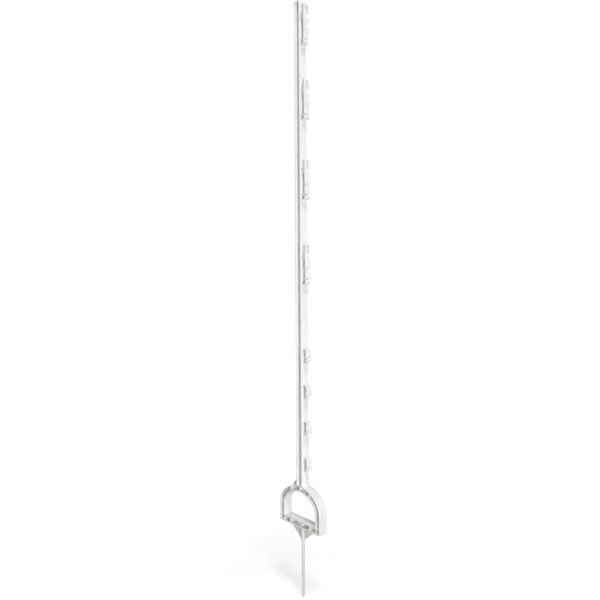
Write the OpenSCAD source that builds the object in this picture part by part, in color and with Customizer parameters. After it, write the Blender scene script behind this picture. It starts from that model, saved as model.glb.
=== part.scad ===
// Stirrup post: a moulded fence post with a foot stirrup, a ground spike and
// clips for tape and cord along one face. Millimetres, +Z up. The origin is on
// the spike's axis where the spike leaves its boss, and -Y is the front.

/* [Overall] */
// Height of the post above the ground line, which is the underside of the stirrup
post_height = 1374; // [1300:1:1600]

/* [Shaft] */
// Width across the two flanges where the shaft meets the stirrup
shaft_w_low = 22.4; // [20:0.1:28]
// Width across the two flanges at the top of the shaft
shaft_w_top = 18.2; // [17:0.1:24]
// Depth from front to back where the shaft meets the stirrup
shaft_d_low = 27; // [25:0.1:32]
// Depth from front to back at the top of the shaft
shaft_d_top = 22; // [21:0.1:28]
// Thickness of each flange
flange_t = 2.6; // [2:0.1:4]
// Thickness of the web in the middle plane of the shaft and of the stirrup
web_t = 3.2; // [2.4:0.1:5]
// Thickness of the cap that closes the shaft's pockets
cap_t = 6; // [3:0.1:12]
// Radius of the cap's rounded edges
cap_r = 6; // [2:0.1:8]
// Radius in the upper corners of the shaft's pockets
pocket_r = 3; // [1:0.1:4]
// Radius of the fillets between the shaft and the crown of the stirrup
foot_fillet_r = 5; // [2:0.1:8]

/* [Stirrup] */
// Width over the stirrup's two sides
stirrup_w = 152; // [140:1:170]
// Depth of the stirrup from front to back
stirrup_d = 27; // [24:0.1:34]
// Height of the stirrup's straight sides
side_h = 49; // [46:1:64]
// Rise of the arch above the straight sides
arch_rise = 59; // [53:1:66]
// Radius of the arch beside the straight sides
arch_side_r = 45; // [36:1:48]
// Height of the stirrup's section between its outer and inner faces
band_h = 16; // [13:0.1:20]
// Thickness of the stirrup's rims
rim_t = 3; // [2.4:0.1:4]
// Thickness of the ribs between the rims
rib_t = 2.6; // [2:0.1:4]
// Distance of the ribs' edges behind the rims' edges
rib_set_back = 0.8; // [0.4:0.1:2]
// Angle from the crown to the next rib on each side of the arch
rib_angle = 26; // [18:1:34]
// Distance from the middle of the foot bar to the rib on each side
bar_rib_x = 37; // [28:1:48]
// Width of the round pad under the middle of the foot bar's upper rim
pad_w = 18; // [14:0.5:26]
// Depth of that pad below the rim
pad_depth = 6; // [3:0.1:8]

/* [Gussets] */
// Thickness of the gussets above and below the stirrup
gusset_t = 3; // [2.4:0.1:5]
// Height of the upper gussets' tips above the ground line
gusset_top = 130; // [122:1:138]
// Distance from the axis to the upper gussets' outer ends on the arch
gusset_reach = 42; // [34:1:50]
// Distance from the axis to the lower gussets' outer ends under the foot bar
gusset_span = 50; // [40:1:60]
// Height of the lower gussets' feet above the lower end of the boss
gusset_foot = 2; // [1:0.1:6]

/* [Spike] */
// Diameter of the spike
spike_d = 8; // [6:0.1:10]
// Length of the spike below its boss
spike_out = 150; // [120:1:220]
// Length of the spike inside its boss and the foot bar
spike_in = 49; // [44:0.5:50]
// Length of the spike's point
point_len = 9; // [5:0.5:14]
// Diameter of the blunt end of the point
point_d = 1.6; // [0.8:0.1:2.4]
// Diameter of the knurled grip that the moulding holds
grip_d = 8.4; // [6.6:0.1:10.6]
// Depth of the grooves round the grip
groove_depth = 0.6; // [0.3:0.1:1]
// Width of each groove round the grip
groove_w = 4; // [2:0.1:6]
// Length of the boss below the ground line
boss_drop = 36; // [34:1:44]
// Diameter of the boss at its lower end
boss_d_low = 12; // [11.6:0.1:16]
// Diameter of the boss at the foot bar
boss_d_top = 13; // [12:0.1:18]

/* [Clips] */
// Width of the clips from front to back
clip_w = 18; // [15:0.1:20]
// Reach of the clips from the shaft's face to their outer face
clip_reach = 15.3; // [13:0.1:18]
// Thickness of the clips' outer plates
plate_t = 3; // [2.2:0.1:3.8]
// Thickness of the arms that carry the plates
arm_t = 2.6; // [2:0.1:4]

/* [Tape clips] */
// Number of tape clips
tape_count = 4; // [1:1:4]
// Distance from the top of the post to the top of the highest tape slot
tape_from_top = 50; // [46:0.5:60]
// Distance between the two highest tape slots
tape_pitch = 195; // [170:0.5:200]
// Growth of that distance from each tape slot to the next one below
tape_pitch_step = 12.5; // [0:0.5:14]
// Height of the tape slot
slot_h = 54; // [44:0.5:60]
// Radius outside the slot's upper end
slot_top_r = 8; // [4:0.1:9]
// Radius outside the slot's lower end
slot_low_r = 4; // [3:0.1:6]
// Distance from the top of the slot to the front end of its slit
slit_drop = 34; // [28:0.5:38]
// Rise of the slit from front to back
slit_rise = 14; // [8:0.5:16]
// Width of the slit at its front end
slit_w = 2; // [1.2:0.1:3]
// Growth of the slit's width towards the back
slit_flare = 3.6; // [0:0.1:5]
// Distance from the bottom of the slot to the bottom of the curl below it
curl_drop = 16; // [14:0.5:20]
// Gap between the slot's lower arm and the lip of the curl
curl_gap = 1.8; // [1:0.1:3]
// Radius outside the curl
curl_r = 7.6; // [5:0.1:9]

/* [Cord cups] */
// Height of the cup's floor above the tape slot
cup_floor = 13.7; // [9:0.1:16]
// Depth of the cup from its lip to its floor
cup_depth = 19.3; // [14:0.1:20]
// Width of the cup from front to back
cup_w = 6; // [4:0.1:7]
// Radius in the cup's outer corner
cup_r = 8; // [2:0.1:9]
// Reach of the keeper behind the cup
keeper_reach = 17; // [15.5:0.1:20]
// Width of the keeper from front to back
keeper_w = 6.5; // [4:0.1:7]
// Drop of the keeper's tip below its top
keeper_drop = 23; // [16:0.5:26]
// Thickness of the keeper at its tip
keeper_tip_t = 3.8; // [2.6:0.1:4.4]
// Thickness of the keeper below its arm
keeper_root_t = 6.5; // [5:0.1:8]

/* [Cord hooks] */
// Number of cord hooks
hook_count = 4; // [1:1:4]
// Height of the lowest hook's foot above the ground line
hook_low = 143.6; // [140:0.5:160]
// Distance between the cord hooks
hook_pitch = 93.8; // [60:0.1:100]
// Height of a hook along the shaft's face
hook_h = 44.6; // [42:0.5:50]
// Height of the ramps at both ends of a hook
hook_ramp = 8; // [5:0.1:8.5]
// Height of the hook's seat above its foot
seat_z = 5.4; // [5:0.1:7]
// Distance of the seat's lowest point from the shaft's face
seat_x = 5; // [4:0.1:7]
// Height of the seat's edge at the shaft's face above its lowest point
seat_back = 3.6; // [1:0.1:5]
// Rise of the seat from its lowest point to the outer plate
seat_rise = 14; // [8:0.1:16]
// Radius between the seat and the outer plate
seat_r = 16; // [4:0.5:18]
// Thickness of the hook's arm above the opening
hook_arm_t = 7; // [5:0.1:8]
// Height of the slit's front end above the hook's foot
hook_slit_z = 13; // [12:0.1:15]
// Rise of the hook's slit from front to back
hook_slit_rise = 14; // [8:0.5:16]
// Width of the hook's slit
hook_slit_w = 2.4; // [1.4:0.1:3.4]
// Distance that the hook's lower lip stands proud of the upper one
lip_proud = 1.7; // [0:0.1:3]

/* [Hidden] */
$fn = 96;
// Overshoot of a cut beyond the face that it opens
cut = 1;
// Depth that a clip's arms run into the flange
root = 1.5;
// Radius of small rounded ends
end_r = 1;
// Largest step of an arc in an outline, in degrees
arc_step = 12;
// Number of grooves round the spike's grip
groove_count = 3;

// Heights above the origin
ground_z = boss_drop;
apex_z = ground_z + side_h + arch_rise;
top_z = ground_z + post_height;
bar_top_z = ground_z + band_h;

// The crown's arc meets both side arcs in a common tangent
side_arc_x = stirrup_w / 2 - arch_side_r;
crown_r = (pow(side_arc_x, 2) + pow(arch_rise, 2) - pow(arch_side_r, 2)) / (2 * (arch_rise - arch_side_r));
crown_z = side_h + arch_rise - crown_r;
crown_half_angle = atan2(side_arc_x, side_h - crown_z);

// The shaft starts inside the arch, where the arch's own shape takes over
shaft_foot_z = apex_z - band_h / 2;
taper_len = top_z - cap_r - shaft_foot_z;

// Width and depth of the tapered shaft at a height
function shaft_w(z) = shaft_w_low + (shaft_w_top - shaft_w_low) * (z - shaft_foot_z) / taper_len;
function shaft_d(z) = shaft_d_low + (shaft_d_top - shaft_d_low) * (z - shaft_foot_z) / taper_len;

// Height of the arch's outer face at a distance from the axis
function arch_z(x) = ground_z + crown_z + sqrt(pow(crown_r, 2) - pow(x, 2));

// Height of the top of a tape slot, counted from the top of the post
function tape_z(i) = top_z - tape_from_top - i * tape_pitch - i * (i - 1) / 2 * tape_pitch_step;

// Height of the foot of a cord hook, counted from the lowest
function hook_z(i) = ground_z + hook_low + i * hook_pitch;

// Outline with rounded corners: each corner is [x, y, radius]
function unit(v) = v / norm(v);
function turn(a) = a > 180 ? a - 360 : a < -180 ? a + 360 : a;
function corner(p, before, after, r) =
    r == 0 ? [p] :
    let (u = unit(before - p), v = unit(after - p))
    let (half = acos(u * v) / 2, mid = p + unit(u + v) * r / sin(half))
    let (from = p + u * r / tan(half) - mid, to = p + v * r / tan(half) - mid)
    let (start = atan2(from.y, from.x), sweep = turn(atan2(to.y, to.x) - start))
    let (steps = ceil(abs(sweep) / arc_step))
    [for (k = [0 : steps]) mid + r * [cos(start + sweep * k / steps), sin(start + sweep * k / steps)]];
function rounded(c) = [
    for (i = [0 : len(c) - 1])
        let (p = c[i], a = c[(i + len(c) - 1) % len(c)], b = c[(i + 1) % len(c)])
        each corner([p.x, p.y], [a.x, a.y], [b.x, b.y], p.z)
];

// An outline seen from the front, drawn in X and Z, that runs from y0 back to y1
module from_front(y0, y1) {
    translate([0, y1, 0]) rotate([90, 0, 0]) linear_extrude(y1 - y0) children();
}

// An outline seen from the side, drawn in Y and Z, that runs from x0 to x1
module from_side(x0, x1) {
    translate([x0, 0, 0]) rotate([90, 0, 90]) linear_extrude(x1 - x0) children();
}

// Tapered upright with two rounded upper corners
module upright_outline(w_low, w_top, z_low, z_top, r) {
    polygon([[-w_low / 2, z_low], [w_low / 2, z_low], [w_top / 2, z_top - r], [-w_top / 2, z_top - r]]);
    translate([r - w_top / 2, z_top - r - cut]) square([w_top - 2 * r, r + cut]);
    for (s = [-1, 1])
        translate([s * (w_top / 2 - r), z_top - r]) circle(r);
}

// The stirrup's outline, drawn in by inset, with its foot on the ground line
module stirrup_outline(inset) {
    half_w = stirrup_w / 2 - inset;
    far = 2 * crown_r;
    translate([-half_w, inset]) square([2 * half_w, side_h - inset]);
    for (s = [-1, 1])
        translate([s * side_arc_x, side_h]) circle(arch_side_r - inset);
    intersection() {
        translate([0, crown_z]) circle(crown_r - inset);
        translate([0, crown_z])
            polygon([[0, 0], far * [sin(crown_half_angle), cos(crown_half_angle)],
                     far * [-sin(crown_half_angle), cos(crown_half_angle)]]);
    }
}

// The part of the stirrup's section between two distances from its outer face
module stirrup_ring(outer, inner) {
    difference() {
        stirrup_outline(outer);
        stirrup_outline(inner);
    }
}

// Ribs, corner dividers and the round pad between the stirrup's rims
module stirrup_ribs() {
    half_w = stirrup_w / 2;
    pad_r = (pow(pad_w / 2, 2) + pow(pad_depth, 2)) / (2 * pad_depth);
    intersection() {
        stirrup_ring(rim_t / 2, band_h - rim_t / 2);
        union() {
            for (a = [-rib_angle, 0, rib_angle])
                translate([0, crown_z]) rotate(a) translate([-rib_t / 2, 0]) square([rib_t, crown_r]);
            translate([-half_w, side_h - rib_t / 2]) square([stirrup_w, rib_t]);
            translate([-half_w, band_h - rim_t]) square([stirrup_w, rim_t]);
            for (s = [-1, 1]) {
                translate([s * (half_w - band_h + rim_t / 2) - rim_t / 2, 0]) square([rim_t, band_h]);
                translate([s * bar_rib_x - rib_t / 2, 0]) square([rib_t, band_h]);
            }
            translate([0, band_h - rim_t - pad_depth + pad_r]) circle(pad_r);
        }
    }
}

module stirrup() {
    translate([0, 0, ground_z]) {
        from_front(-stirrup_d / 2, stirrup_d / 2) {
            stirrup_ring(0, rim_t);
            stirrup_ring(band_h - rim_t, band_h);
        }
        from_front(-web_t / 2, web_t / 2) stirrup_ring(0, band_h);
        from_front(rib_set_back - stirrup_d / 2, stirrup_d / 2 - rib_set_back) stirrup_ribs();
    }
}

// The space that the stirrup's own solids fill, for what stands on its arch
module stirrup_space() {
    translate([0, 0, ground_z]) from_front(-stirrup_d, stirrup_d) stirrup_outline(rim_t / 2);
}

// The shaft's outer form, tapered in width and in depth
module shaft_body() {
    intersection() {
        from_front(-shaft_d_low, shaft_d_low)
            upright_outline(shaft_w_low, shaft_w_top, shaft_foot_z, top_z, cap_r);
        from_side(-shaft_w_low, shaft_w_low)
            upright_outline(shaft_d_low, shaft_d_top, shaft_foot_z, top_z, cap_r);
    }
}

// One pocket between the flanges, in front of the web
module shaft_pocket() {
    pocket_top = top_z - cap_t;
    from_front(-shaft_d_low, -web_t / 2)
        upright_outline(shaft_w_low - 2 * flange_t, shaft_w(pocket_top - pocket_r) - 2 * flange_t,
                        shaft_foot_z, pocket_top, pocket_r);
}

module shaft() {
    difference() {
        union() {
            difference() {
                shaft_body();
                for (back = [0, 1])
                    mirror([0, back, 0]) shaft_pocket();
            }
            foot_fillets();
        }
        stirrup_space();
    }
}

// Rounded feet where the flanges run into the crown of the arch
module foot_fillets() {
    x = shaft_w(apex_z + foot_fillet_r) / 2;
    z = arch_z(x + foot_fillet_r);
    for (left = [0, 1])
        mirror([left, 0, 0])
            from_front(-shaft_d(apex_z) / 2, shaft_d(apex_z) / 2)
                difference() {
                    translate([x - flange_t / 2, z - band_h / 2])
                        square([foot_fillet_r + flange_t / 2, foot_fillet_r + band_h / 2]);
                    translate([x + foot_fillet_r, z + foot_fillet_r]) circle(foot_fillet_r);
                }
}

// Thin webs in the middle plane that brace the shaft on the arch
module upper_gussets() {
    tip_z = ground_z + gusset_top;
    difference() {
        from_front(-gusset_t / 2, gusset_t / 2)
            polygon([[-gusset_reach, arch_z(gusset_reach)], [-shaft_w(tip_z) / 2, tip_z],
                     [shaft_w(tip_z) / 2, tip_z], [gusset_reach, arch_z(gusset_reach)],
                     [gusset_reach - band_h, shaft_foot_z - band_h], [band_h - gusset_reach, shaft_foot_z - band_h]]);
        stirrup_space();
    }
}

// Thin webs in the middle plane that brace the boss under the foot bar
module lower_gussets() {
    from_front(-gusset_t / 2, gusset_t / 2)
        polygon([[-gusset_span, ground_z + rim_t / 2], [gusset_span, ground_z + rim_t / 2], [gusset_span, ground_z],
                 [boss_d_low / 2, gusset_foot], [-boss_d_low / 2, gusset_foot], [-gusset_span, ground_z]]);
}

// Round boss that holds the spike, from its lower end up into the foot bar
module boss() {
    cylinder(h = ground_z, d1 = boss_d_low, d2 = boss_d_top);
    translate([0, 0, ground_z]) cylinder(h = band_h - rim_t / 2, d = boss_d_top);
}

// Tape slot with its diagonal slit: z = 0 at the top of the slot, x = 0 on the shaft's face
module tape_slot() {
    inner_x = clip_reach - plate_t;
    slit_back_z = slit_rise - slit_drop;
    difference() {
        from_front(-clip_w / 2, clip_w / 2)
            difference() {
                polygon(rounded([[-root, -slot_h - arm_t, 0], [clip_reach, -slot_h - arm_t, slot_low_r],
                                 [clip_reach, arm_t, slot_top_r], [-root, arm_t, 0]]));
                polygon(rounded([[-root - cut, -slot_h, 0], [inner_x, -slot_h, end_r],
                                 [inner_x, 0, max(slot_top_r - plate_t, end_r)], [-root - cut, 0, 0]]));
            }
        from_side(inner_x / 2, clip_reach + cut)
            polygon([[-clip_w / 2 - cut, -slit_drop - slit_w / 2], [clip_w / 2 + cut, slit_back_z - slit_w / 2],
                     [clip_w / 2 + cut, slit_back_z + slit_w / 2 + slit_flare],
                     [-clip_w / 2 - cut, -slit_drop + slit_w / 2]]);
    }
}

// Round cup below the tape slot, with its lip just under the slot's lower arm
module curl() {
    inner_x = clip_reach - plate_t;
    lip_z = -slot_h - arm_t - curl_gap;
    low_z = -slot_h - curl_drop;
    from_front(-clip_w / 2, clip_w / 2)
        difference() {
            polygon(rounded([[-root, low_z, 0], [clip_reach, low_z, curl_r],
                             [clip_reach, lip_z, end_r], [-root, lip_z, 0]]));
            polygon(rounded([[-root - cut, low_z + plate_t, 0], [inner_x, low_z + plate_t, max(curl_r - plate_t, end_r)],
                             [inner_x, lip_z + cut, 0], [-root - cut, lip_z + cut, 0]]));
        }
}

// Cup in front of the keeper: a cord lies in it and under the keeper
module cord_cup() {
    inner_x = clip_reach - plate_t;
    lip_z = cup_floor + cup_depth;
    from_front(-clip_w / 2, cup_w - clip_w / 2)
        difference() {
            polygon(rounded([[-root, arm_t / 2 - slot_top_r, 0], [inner_x, arm_t / 2 - slot_top_r, 0],
                             [clip_reach, arm_t / 2 - slot_top_r, 0],
                             [clip_reach, lip_z, end_r], [-root, lip_z, 0]]));
            polygon(rounded([[-root - cut, cup_floor, 0], [inner_x, cup_floor, cup_r],
                             [inner_x, lip_z + cut, 0], [-root - cut, lip_z + cut, 0]]));
            polygon(rounded([[-root - cut, -slot_h, 0], [inner_x, -slot_h, 0],
                             [inner_x, 0, max(slot_top_r - plate_t, end_r)], [-root - cut, 0, 0]]));
        }
}

// Hook behind the cup that hangs down over the cord
module cord_keeper() {
    top = cup_floor + cup_depth;
    tip = top - keeper_drop;
    from_front(clip_w / 2 - keeper_w, clip_w / 2)
        polygon(rounded([[-root, top, 0], [-root, top - arm_t - end_r, 0],
                         [keeper_reach - keeper_root_t, top - arm_t - end_r, end_r],
                         [keeper_reach - keeper_tip_t, tip, end_r], [keeper_reach, tip, end_r],
                         [keeper_reach, top, arm_t]]));
}

// One clip of the upper kind: cord cup and keeper, tape slot and curl
module tape_clip() {
    tape_slot();
    curl();
    cord_cup();
    cord_keeper();
}

// A hook's body without its slit: z = 0 at its foot, x = 0 on the shaft's face
module hook_body(reach) {
    inner_x = reach - plate_t;
    intersection() {
        from_front(-clip_w / 2, clip_w / 2)
            difference() {
                polygon(rounded([[-root, 0, 0], [0, 0, 0], [reach, hook_ramp, end_r],
                                 [reach, hook_h - hook_ramp, plate_t], [0, hook_h, 0], [-root, hook_h, 0]]));
                polygon(rounded([[-root - cut, seat_z + seat_back, 0], [0, seat_z + seat_back, 0],
                                 [seat_x, seat_z, end_r], [inner_x, seat_z + seat_rise, seat_r],
                                 [inner_x, hook_h - hook_arm_t, plate_t], [-root - cut, hook_h - hook_arm_t, 0]]));
            }
        from_side(-root, reach)
            union() {
                translate([-clip_w / 2, clip_w / 2]) square([clip_w, hook_h - clip_w]);
                for (z = [clip_w / 2, hook_h - clip_w / 2])
                    translate([0, z]) circle(clip_w / 2);
            }
    }
}

// The region below the hook's slit, or with side = 1 the region above it
module slit_region(side) {
    half_w = clip_w / 2 + cut;
    edge = (side - 0.5) * hook_slit_w;
    far = side == 1 ? 2 * hook_h : -hook_h;
    from_side(-root - cut, clip_reach + lip_proud + cut)
        polygon([[-half_w, hook_slit_z + edge], [half_w, hook_slit_z + hook_slit_rise + edge],
                 [half_w, far], [-half_w, far]]);
}

// Cord hook: an upper lip, a diagonal slit and a prouder lower lip
module cord_hook() {
    intersection() {
        hook_body(clip_reach);
        slit_region(1);
    }
    intersection() {
        hook_body(clip_reach + lip_proud);
        slit_region(0);
    }
}

module clips() {
    for (i = [0 : tape_count - 1])
        translate([shaft_w(tape_z(i)) / 2, 0, tape_z(i)]) tape_clip();
    for (i = [0 : hook_count - 1])
        translate([shaft_w(hook_z(i)) / 2, 0, hook_z(i)]) cord_hook();
}

// Half section of the spike's knurled grip, with its grooves
module grip_section() {
    groove_pitch = spike_in / (groove_count + 1);
    difference() {
        square([grip_d / 2, spike_in]);
        for (i = [1 : groove_count])
            translate([grip_d / 2 - groove_depth, i * groove_pitch - groove_w / 2])
                square([groove_depth + cut, groove_w]);
    }
}

module moulded_post() {
    color([0.94, 0.95, 0.94])
        difference() {
            union() {
                shaft();
                stirrup();
                upper_gussets();
                lower_gussets();
                boss();
                clips();
            }
            rotate_extrude() grip_section();
        }
}

module ground_spike() {
    color([0.72, 0.74, 0.78])
        rotate_extrude() {
            grip_section();
            polygon([[0, 0], [0, -spike_out], [point_d / 2, -spike_out],
                     [spike_d / 2, point_len - spike_out], [spike_d / 2, 0]]);
        }
}

moulded_post();
ground_spike();
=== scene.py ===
"""A white moulded stirrup post with a steel ground spike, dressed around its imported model."""

import logging
import math
from collections.abc import Callable, Sequence
from dataclasses import dataclass, field
from enum import Enum

import bmesh
import bpy
from mathutils import Matrix, Vector

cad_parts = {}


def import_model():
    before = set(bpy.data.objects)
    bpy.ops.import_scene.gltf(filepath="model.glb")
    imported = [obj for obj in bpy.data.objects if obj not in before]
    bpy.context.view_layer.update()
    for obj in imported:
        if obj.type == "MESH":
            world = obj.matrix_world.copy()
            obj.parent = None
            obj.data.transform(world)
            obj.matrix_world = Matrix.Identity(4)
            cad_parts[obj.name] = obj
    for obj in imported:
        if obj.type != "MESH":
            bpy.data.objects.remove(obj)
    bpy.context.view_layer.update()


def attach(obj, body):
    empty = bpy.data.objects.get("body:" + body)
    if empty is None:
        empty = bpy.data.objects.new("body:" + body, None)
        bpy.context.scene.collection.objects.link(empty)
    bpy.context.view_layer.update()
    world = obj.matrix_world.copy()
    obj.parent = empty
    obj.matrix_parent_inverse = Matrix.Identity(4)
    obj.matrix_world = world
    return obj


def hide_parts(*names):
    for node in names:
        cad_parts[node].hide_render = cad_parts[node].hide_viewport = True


LOG = logging.getLogger("stirrup_post")
MM = 0.001
# Largest distance of an arc from its chords, in millimetres, and largest step of an arc in degrees
ARC_SAG = 0.012
ARC_STEP = 18.0
# Fold of an edge, in degrees, above which it is rounded, and above which the shading keeps it crisp
CREASE = 28.0
CRISP = 50.0
# How strongly large faces pull the shading flat, from 1 to 100
FLATNESS = 80
# Distance from a cut at which a point counts as on it, and from each other at which two merge, in millimetres
CUT_TOLERANCE = 1e-4
WELD = 1e-3

Point = tuple[float, float]
Corner = tuple[float, float, float]


class Slot(Enum):
    """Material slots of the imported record."""

    POST = "white_plastic"
    SPIKE = "plated_steel"


class Operation(Enum):
    """Ways to combine one closed form with others."""

    JOIN = "UNION"
    CUT = "DIFFERENCE"
    KEEP_COMMON = "INTERSECT"


class Lip(Enum):
    """The two lips that a diagonal slit leaves on a clip."""

    LOWER = -1
    UPPER = 1


def linear(hex_colour: str) -> tuple[float, float, float, float]:
    """Turn an sRGB colour into the linear colour that shaders take.

    Args:
        hex_colour: Colour such as "#f2f4f1".

    Returns:
        Red, green, blue and an alpha of 1.
    """
    parts = [int(hex_colour[i : i + 2], 16) / 255 for i in (1, 3, 5)]
    low = [c / 12.92 if c <= 0.04045 else ((c + 0.055) / 1.055) ** 2.4 for c in parts]
    return (low[0], low[1], low[2], 1.0)


def add_node(
    tree: bpy.types.NodeTree, kind: str, links: dict | None = None, **settings: object,
) -> bpy.types.Node:
    """Add one node to a tree with its settings, input values and links.

    Args:
        tree: Node tree that gets the node.
        kind: Blender's name for the node's type.
        links: Input name or number, to an output socket or a plain value.
        settings: Attributes of the node.

    Returns:
        The new node.
    """
    node = tree.nodes.new(kind)
    for name, value in settings.items():
        setattr(node, name, value)
    for name, value in (links or {}).items():
        if isinstance(value, bpy.types.NodeSocket):
            tree.links.new(value, node.inputs[name])
        else:
            node.inputs[name].default_value = value
    return node


def maths(tree: bpy.types.NodeTree, operation: str, *values: object) -> bpy.types.NodeSocket:
    """Work out one number in a tree.

    Args:
        tree: Node tree.
        operation: Blender's name for the operation.
        values: Sockets or plain numbers.

    Returns:
        The result's socket.
    """
    return add_node(tree, "ShaderNodeMath", dict(enumerate(values)), operation=operation).outputs[0]


def arc(centre: Point, radius: float, start: float, end: float, count: int = 0) -> list[Point]:
    """Lay points along an arc.

    Args:
        centre: Centre of the arc.
        radius: Radius of the arc.
        start: First angle in degrees, counted from the first axis towards the second.
        end: Last angle in degrees.
        count: Number of chords, or 0 for as many as the arc's roundness needs.

    Returns:
        Points from the first angle to the last.
    """
    step = min(ARC_STEP, 2 * math.degrees(math.acos(max(0.5, 1 - ARC_SAG / radius))))
    count = count or max(2, math.ceil(abs(end - start) / step))
    angles = [math.radians(start + (end - start) * i / count) for i in range(count + 1)]
    return [(centre[0] + radius * math.cos(a), centre[1] + radius * math.sin(a)) for a in angles]


def rounded(corners: Sequence[Corner]) -> list[Point]:
    """Round the corners of an outline.

    Args:
        corners: Corners in order, each with its radius, where 0 keeps it sharp.

    Returns:
        Points of the rounded outline.
    """
    points: list[Point] = []
    for i, (x, y, radius) in enumerate(corners):
        here = Vector((x, y))
        if radius == 0:
            points.append((x, y))
            continue
        u = (Vector(corners[i - 1][:2]) - here).normalized()
        v = (Vector(corners[(i + 1) % len(corners)][:2]) - here).normalized()
        half = u.angle(v) / 2
        middle = here + (u + v).normalized() * radius / math.sin(half)
        first = here + u * radius / math.tan(half) - middle
        last = here + v * radius / math.tan(half) - middle
        start = math.degrees(math.atan2(first.y, first.x))
        sweep = (math.degrees(math.atan2(last.y, last.x)) - start + 180) % 360 - 180
        points += arc((middle.x, middle.y), radius, start, start + sweep)
    return points


def loft(rings: Sequence[Sequence[Vector]], endless: bool = False) -> bmesh.types.BMesh:
    """Skin a closed form over rings that have equal numbers of points.

    Args:
        rings: Rings of points in order.
        endless: Whether the last ring joins the first, instead of both being filled.

    Returns:
        The skinned form, with its faces outwards.
    """
    form = bmesh.new()
    rows = [[form.verts.new(p) for p in ring] for ring in rings]
    pairs = list(zip(rows, rows[1:]))
    if endless:
        pairs.append((rows[-1], rows[0]))
    else:
        form.faces.new(rows[0])
        form.faces.new(rows[-1])
    for a, b in pairs:
        for i in range(len(a)):
            form.faces.new((a[i - 1], a[i], b[i], b[i - 1]))
    bmesh.ops.recalc_face_normals(form, faces=form.faces)
    return form


def soften(form: bmesh.types.BMesh, radius: float, segments: int = 2) -> bmesh.types.BMesh:
    """Round the sharp edges of a form.

    Args:
        form: Closed form.
        radius: Radius of the rounding.
        segments: Steps of the rounding.

    Returns:
        The same form.
    """
    sharp = [e for e in form.edges if e.is_manifold and e.calc_face_angle(0) > math.radians(CREASE)]
    bmesh.ops.bevel(
        form, geom=sharp, offset=radius, offset_type="OFFSET", segments=segments,
        profile=0.5, affect="EDGES", clamp_overlap=True,
    )
    return form


def prism(outline: Sequence[Point], front: float, back: float, radius: float = 0.0) -> bmesh.types.BMesh:
    """Extrude an outline drawn in X and Z from the front to the back.

    Args:
        outline: Points in X and Z.
        front: Y of the front face.
        back: Y of the back face.
        radius: Rounding of the sharp edges.

    Returns:
        The closed form.
    """
    form = loft([[Vector((x, y, z)) for x, z in outline] for y in (front, back)])
    return soften(form, radius) if radius else form


def slice_off(form: bmesh.types.BMesh, point: Vector, away: Vector) -> bmesh.types.BMesh:
    """Cut a closed form by a plane and close the cut.

    Args:
        form: Closed form.
        point: Point on the plane.
        away: Direction of the part that is cut off.

    Returns:
        The same form.
    """
    everything = form.verts[:] + form.edges[:] + form.faces[:]
    bmesh.ops.bisect_plane(
        form, geom=everything, dist=CUT_TOLERANCE, plane_co=point, plane_no=away, clear_outer=True,
    )
    open_edges = [e for e in form.edges if e.is_boundary]
    bmesh.ops.contextual_create(form, geom=open_edges)
    bmesh.ops.recalc_face_normals(form, faces=form.faces)
    return form


def to_object(form: bmesh.types.BMesh, name: str, shift: Vector | None = None) -> bpy.types.Object:
    """Turn a form in millimetres into an object in metres.

    Args:
        form: Form, which is freed.
        name: Name of the object.
        shift: Place of the form's origin in millimetres.

    Returns:
        The linked object, whose place is in its mesh.
    """
    form.transform(Matrix.Scale(MM, 4) @ Matrix.Translation(shift or Vector()))
    mesh = bpy.data.meshes.new(name)
    form.to_mesh(mesh)
    form.free()
    piece = bpy.data.objects.new(name, mesh)
    bpy.context.scene.collection.objects.link(piece)
    return piece


def bake(piece: bpy.types.Object) -> bpy.types.Object:
    """Turn a piece's modifiers into a plain mesh.

    Args:
        piece: Object with modifiers.

    Returns:
        The same object, without modifiers.
    """
    evaluated = piece.evaluated_get(bpy.context.evaluated_depsgraph_get())
    mesh = bpy.data.meshes.new_from_object(evaluated)
    mesh.name = piece.name
    piece.modifiers.clear()
    piece.data = mesh
    return piece


def combine(
    piece: bpy.types.Object, others: Sequence[bpy.types.Object], operation: Operation,
) -> bpy.types.Object:
    """Combine a piece with others, which are used up.

    Args:
        piece: Closed piece.
        others: Other closed pieces.
        operation: Way to combine them.

    Returns:
        The same piece with its new mesh.
    """
    for other in others:
        modifier = piece.modifiers.new(operation.name.lower(), "BOOLEAN")
        modifier.operation = operation.value
        modifier.solver = "MANIFOLD"
        modifier.object = other
    bake(piece)
    for other in others:
        bpy.data.objects.remove(other)
    return piece


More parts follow.
